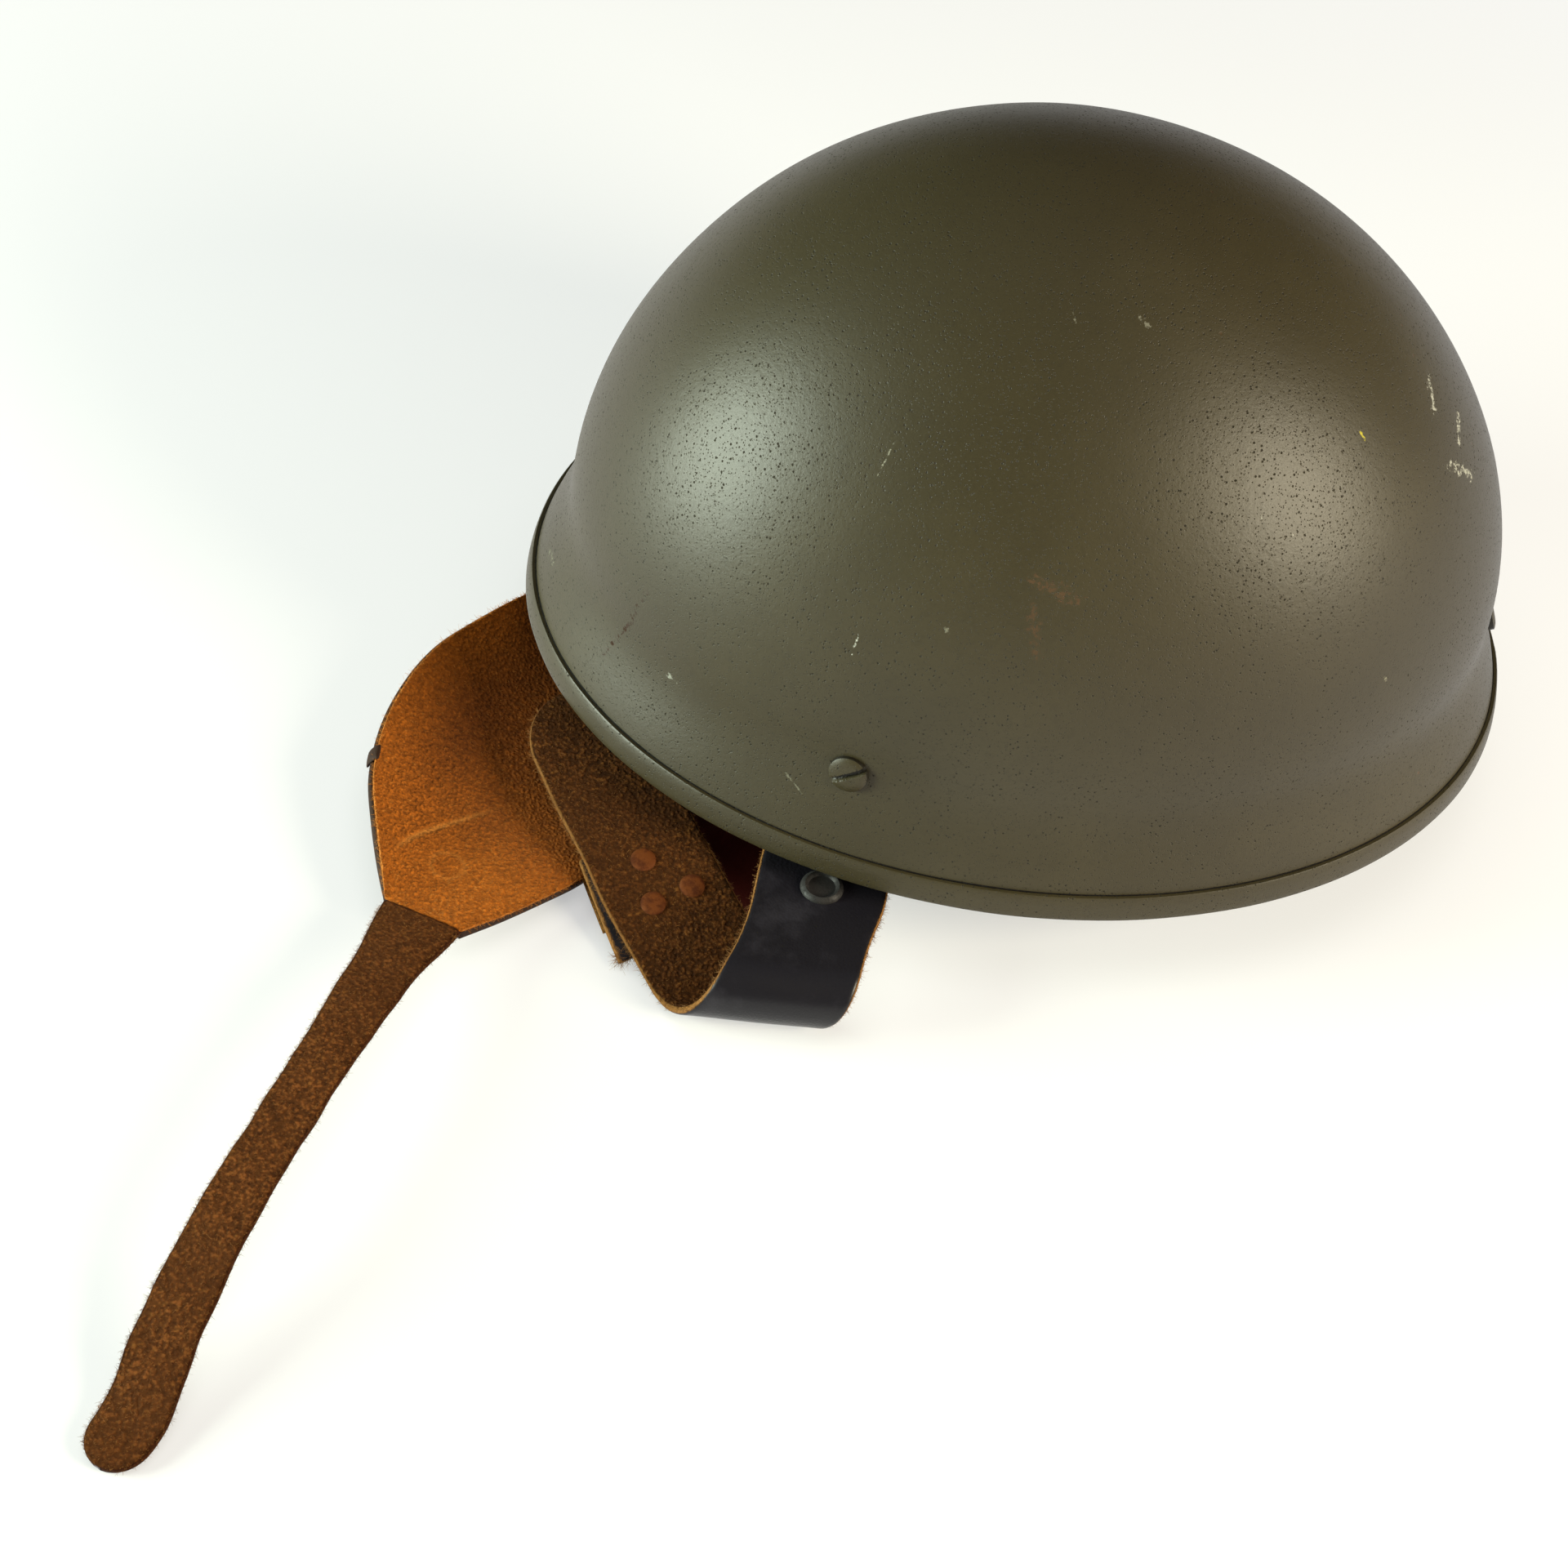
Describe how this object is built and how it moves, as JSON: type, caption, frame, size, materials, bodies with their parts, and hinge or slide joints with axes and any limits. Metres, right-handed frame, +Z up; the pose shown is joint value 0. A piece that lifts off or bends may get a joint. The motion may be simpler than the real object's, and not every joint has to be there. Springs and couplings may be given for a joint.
{
  "type": "paratrooper helmet",
  "caption": "Olive steel paratrooper helmet with a folded rim band, leather temple harness with a wire buckle, napped chin cup, long chin strap and a padded fibre liner.",
  "frame": {"origin": "middle of the footprint of everything, on the table", "axes": "+Z up; -X towards the brow, +X towards the nape; -Y towards the wearer's left, where the chin strap lies out"},
  "size_m": [0.357, 0.3914, 0.1826],
  "materials": {
    "olive_paint": "satin, worn",
    "plain_steel": "plain",
    "black_metal": "dark, rubbed",
    "copper": "dull copper",
    "brown_suede": "rough flesh side",
    "black_leather": "smooth grain",
    "tan_lining": "napped",
    "fibre_board": "matt",
    "sponge_rubber": "matt",
    "khaki_webbing": "woven",
    "black_trim": "matt",
    "maroon_leather": "smooth, dark red brown"
  },
  "bodies": {
    "helmet": {"shell": "olive_paint", "rim_band": "olive_paint", "left_temple_screw": "olive_paint", "right_temple_screw": "olive_paint", "nape_screw": "olive_paint", "left_spacer": "plain_steel", "left_plate": "plain_steel", "left_nut": "plain_steel", "right_spacer": "plain_steel", "right_plate": "plain_steel", "right_nut": "plain_steel", "nape_spacer": "plain_steel", "nape_plate": "plain_steel", "nape_nut": "plain_steel", "strap_stud_back": "plain_steel", "strap_stud": "black_metal", "buckle_rivet_1": "copper", "buckle_rivet_2": "copper", "buckle_rivet_3": "copper", "curtain_rivet_1": "copper", "curtain_rivet_2": "copper", "curtain_rivet_3": "copper", "curtain_rivet_4": "copper", "curtain_rivet_5": "copper", "left_temple_strap": "brown_suede", "buckle_tab": "brown_suede", "sweatband": "black_leather", "neck_curtain": "black_leather", "right_temple_strap": "black_leather", "liner_band": "fibre_board", "crown_pad": "sponge_rubber", "liner_pad_1": "sponge_rubber", "liner_pad_2": "sponge_rubber", "liner_pad_3": "sponge_rubber", "liner_pad_4": "sponge_rubber", "liner_pad_5": "sponge_rubber", "liner_pad_6": "sponge_rubber", "crown_strap_long": "khaki_webbing", "crown_strap_short": "khaki_webbing", "rim_seal": "black_trim", "ear_flap": "maroon_leather"},
    "chin_cup_body": {"chin_cup": "black_leather", "chin_cup_lining": "tan_lining", "cup_stud": "black_metal", "cup_edge_clip": "black_metal"},
    "chin_strap_body": {"chin_strap": "brown_suede"},
    "buckle_body": {"buckle_frame": "plain_steel"},
    "grip_body": {"grip_bar": "plain_steel"}
  },
  "joints": [
    {"name": "cup_drop", "type": "hinge", "parent": "helmet", "child": "chin_cup_body", "pos_m": [-0.06057, 0.1062, 0.005], "axis": [0.925, -0.38, 0], "range_deg": [0, 75]},
    {"name": "chin_strap_fold", "type": "hinge", "parent": "chin_cup_body", "child": "chin_strap_body", "pos_m": [-0.11856, -0.03495, 0.0119], "axis": [-0.925, 0.38, 0], "range_deg": [0, 110]},
    {"name": "buckle_swing", "type": "hinge", "parent": "helmet", "child": "buckle_body", "pos_m": [-0.06579, 0.00075, 0.00942], "axis": [-0.8808, -0.4652, -0.0886], "range_deg": [0, 10]},
    {"name": "grip_slide", "type": "slide", "parent": "buckle_body", "child": "grip_body", "axis": [-0.4735, 0.8652, 0.1647], "range_m": [0, 0.002]}
  ]
}
